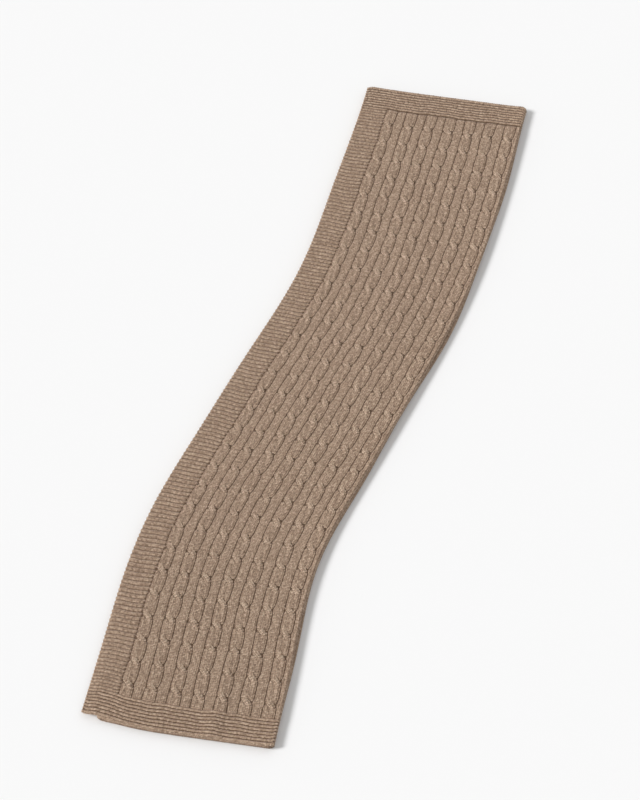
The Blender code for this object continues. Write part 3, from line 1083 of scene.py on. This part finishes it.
def yarn_material(name, knitted):
    """Flecked taupe yarn: mottled, a little different from stitch to stitch, and with a soft nap.

    A knitted one is for the cloth's plain faces, and has its rows and wales as fine relief. The colour of
    both carries painted shade and painted highlights from the values on their points.
    """
    material = bpy.data.materials.new(name)
    material.use_nodes = True
    tree = material.node_tree
    link = tree.links.new
    shader = tree.nodes["Principled BSDF"]
    shader.inputs["Roughness"].default_value = 0.92
    shader.inputs["Specular IOR Level"].default_value = 0.25
    shader.inputs["Sheen Weight"].default_value = 0.35
    shader.inputs["Sheen Roughness"].default_value = 0.5
    shader.inputs["Sheen Tint"].default_value = (0.80, 0.72, 0.64, 1.0)

    knit = node(tree, "ShaderNodeUVMap", uv_map="knit")
    mottle = node(tree, "ShaderNodeTexNoise", noise_dimensions="2D")
    mottle.inputs["Scale"].default_value = 210.0
    mottle.inputs["Detail"].default_value = 3.0
    mottle.inputs["Roughness"].default_value = 0.65
    link(knit.outputs["UV"], mottle.inputs["Vector"])
    fleck = node(tree, "ShaderNodeTexNoise", noise_dimensions="2D")
    fleck.inputs["Scale"].default_value = 900.0
    fleck.inputs["Detail"].default_value = 2.0
    link(knit.outputs["UV"], fleck.inputs["Vector"])
    # Random tone of each stitch, plus the painted highlight on the front strands at crossings, which moves
    # the yarn toward its paler colours
    tone_and_highlight = node(tree, "ShaderNodeAttribute", attribute_name="tone_and_highlight")

    blend = node(tree, "ShaderNodeMath", operation="MULTIPLY_ADD")
    blend.inputs[1].default_value = 0.5
    link(mottle.outputs["Fac"], blend.inputs[0])
    half_fleck = node(tree, "ShaderNodeMath", operation="MULTIPLY")
    half_fleck.inputs[1].default_value = 0.32
    link(fleck.outputs["Fac"], half_fleck.inputs[0])
    link(half_fleck.outputs["Value"], blend.inputs[2])
    toned = node(tree, "ShaderNodeMath", operation="MULTIPLY_ADD")
    toned.inputs[1].default_value = 0.18
    link(tone_and_highlight.outputs["Fac"], toned.inputs[0])
    link(blend.outputs["Value"], toned.inputs[2])
    ramp = node(tree, "ShaderNodeValToRGB")
    stops = ramp.color_ramp.elements
    stops[0].position, stops[0].color = 0.34, (0.225, 0.148, 0.099, 1.0)
    stops[1].position, stops[1].color = 0.68, (0.680, 0.525, 0.395, 1.0)
    middle = stops.new(0.50)
    middle.color = (0.415, 0.291, 0.206, 1.0)
    link(toned.outputs["Value"], ramp.inputs["Fac"])

    # Painted shade: the shade attribute darkens the yarn's colour toward this dark brown, in grooves,
    # valleys, crossings, on shoulders and on covered rims
    shade = node(tree, "ShaderNodeAttribute", attribute_name="shade")
    painted_shade = node(tree, "ShaderNodeMix", data_type="RGBA", blend_type="MULTIPLY")
    painted_shade.inputs["B"].default_value = (0.25, 0.20, 0.165, 1.0)
    link(shade.outputs["Fac"], painted_shade.inputs["Factor"])
    link(ramp.outputs["Color"], painted_shade.inputs["A"])
    link(painted_shade.outputs["Result"], shader.inputs["Base Color"])

    fibre = node(tree, "ShaderNodeTexNoise", noise_dimensions="2D")
    fibre.inputs["Scale"].default_value = 2600.0
    fibre.inputs["Detail"].default_value = 2.0
    link(knit.outputs["UV"], fibre.inputs["Vector"])
    bump = node(tree, "ShaderNodeBump")
    bump.inputs["Strength"].default_value = 0.5
    bump.inputs["Distance"].default_value = 0.0003
    link(fibre.outputs["Fac"], bump.inputs["Height"])
    link(bump.outputs["Normal"], shader.inputs["Normal"])
    if knitted:
        relief = node(tree, "ShaderNodeBump")
        relief.inputs["Strength"].default_value = 0.8
        relief.inputs["Distance"].default_value = 0.0008
        rows = []
        for direction, spacing in (("X", CABLE_WALE), ("Y", ROW)):
            wave = node(tree, "ShaderNodeTexWave", bands_direction=direction)
            wave.inputs["Scale"].default_value = math.tau / 20.0 / spacing
            wave.inputs["Distortion"].default_value = 0.6
            link(knit.outputs["UV"], wave.inputs["Vector"])
            rows.append(wave.outputs["Fac"])
        both = node(tree, "ShaderNodeMath", operation="MULTIPLY")
        link(rows[0], both.inputs[0])
        link(rows[1], both.inputs[1])
        link(both.outputs["Value"], relief.inputs["Height"])
        link(relief.outputs["Normal"], bump.inputs["Normal"])
    return material


def box_middle(mesh):
    """Middle of the box round a mesh."""
    points = np.empty(len(mesh.vertices) * 3, np.float32)
    mesh.vertices.foreach_get("co", points)
    points = points.reshape(-1, 3)
    return (points.min(0) + points.max(0)) / 2.0


def dress_throw():
    """Makes the cloth and its stitches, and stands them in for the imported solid."""
    rough = cloth_mesh(np.zeros(3))
    centre = box_middle(rough) - (np.array(CAD_BOUNDS[0]) + np.array(CAD_BOUNDS[1])) / 2.0
    centre[2] = 0.0
    bpy.data.meshes.remove(rough)
    yarn = yarn_material("flecked_taupe_yarn", False)
    cloth = bpy.data.objects.new(NODE + "_cloth", cloth_mesh(centre))
    cloth.data.materials.append(yarn_material("flecked_taupe_knit", True))
    bpy.context.scene.collection.objects.link(cloth)

    tree, slender, full = stitch_tree(yarn)
    panel, chance = with_jitter(panel_stitches())
    shares = (column(panel, "along") - BORDER) / (LENGTH - 2.0 * BORDER)
    thirds = np.clip(np.floor(shares * 3.0), 0, 2)
    pieces = []
    for index, name in enumerate(("near_panel_stitches", "middle_panel_stitches", "far_panel_stitches")):
        here = thirds == index
        pieces.append(stitch_piece(name, panel[here], chance[here], tree, slender, centre))
    others = (("border_stitches", ridge_stitches(), full), ("edge_stitches", edge_stitches(), slender))
    for name, stitches, settings in others:
        table, chance = with_jitter(stitches)
        pieces.append(stitch_piece(name, table, chance, tree, settings, centre))

    for piece in [cloth, *pieces]:
        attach(piece, "root")
    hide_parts(NODE)


def floor():
    """A wide pale floor, which isn't a part of the throw."""
    bpy.ops.mesh.primitive_plane_add(size=FLOOR_SIZE, location=(0.0, 0.0, -FLOOR_DROP))
    plane = bpy.context.object
    plane.name = "floor"
    material = bpy.data.materials.new("pale_floor")
    material.use_nodes = True
    shader = material.node_tree.nodes["Principled BSDF"]
    shader.inputs["Base Color"].default_value = (0.86, 0.86, 0.86, 1.0)
    shader.inputs["Roughness"].default_value = 0.9
    shader.inputs["Specular IOR Level"].default_value = 0.1
    plane.data.materials.append(material)


def soft_sun(name, direction, strength, angle):
    """A distant light that shines from this direction, softened over a wide angle."""
    data = bpy.data.lights.new(name, "SUN")
    data.energy = strength
    data.angle = math.radians(angle)
    lamp = bpy.data.objects.new(name, data)
    lamp.rotation_euler = (-Vector(direction)).to_track_quat("-Z", "Y").to_euler()
    bpy.context.scene.collection.objects.link(lamp)


def studio():
    """Even white light all round, which looks as pale as the floor, and two distant lamps."""
    world = bpy.data.worlds.new("studio")
    world.use_nodes = True
    tree = world.node_tree
    background = tree.nodes["Background"]
    background.inputs["Color"].default_value = (1.0, 1.0, 1.0, 1.0)
    path = node(tree, "ShaderNodeLightPath")
    strength = node(tree, "ShaderNodeMath", operation="MULTIPLY_ADD")
    strength.inputs[1].default_value = SURROUND_LIGHT - WORLD_LIGHT
    strength.inputs[2].default_value = WORLD_LIGHT
    tree.links.new(path.outputs["Is Camera Ray"], strength.inputs[0])
    tree.links.new(strength.outputs["Value"], background.inputs["Strength"])
    bpy.context.scene.world = world
    for lamp in LAMPS:
        soft_sun(*lamp)


def camera():
    """A long lens that looks down on the throw from its near end."""
    data = bpy.data.cameras.new("camera")
    data.lens = LENS
    data.sensor_fit = "VERTICAL"
    data.sensor_height = SENSOR_HEIGHT
    data.clip_start = 0.05
    obj = bpy.data.objects.new("camera", data)
    elevation, azimuth = math.radians(CAMERA_ELEVATION), math.radians(CAMERA_AZIMUTH)
    target = Vector(CAMERA_TARGET)
    back = Vector((-math.sin(azimuth), -math.cos(azimuth), 0.0)) * math.cos(elevation)
    obj.location = target + (back + Vector((0.0, 0.0, math.sin(elevation)))) * CAMERA_DISTANCE
    obj.rotation_euler = (target - obj.location).to_track_quat("-Z", "Y").to_euler()
    bpy.context.scene.collection.objects.link(obj)
    bpy.context.scene.camera = obj


bpy.context.scene.view_settings.view_transform = "Standard"
camera()
floor()
studio()
dress_throw()
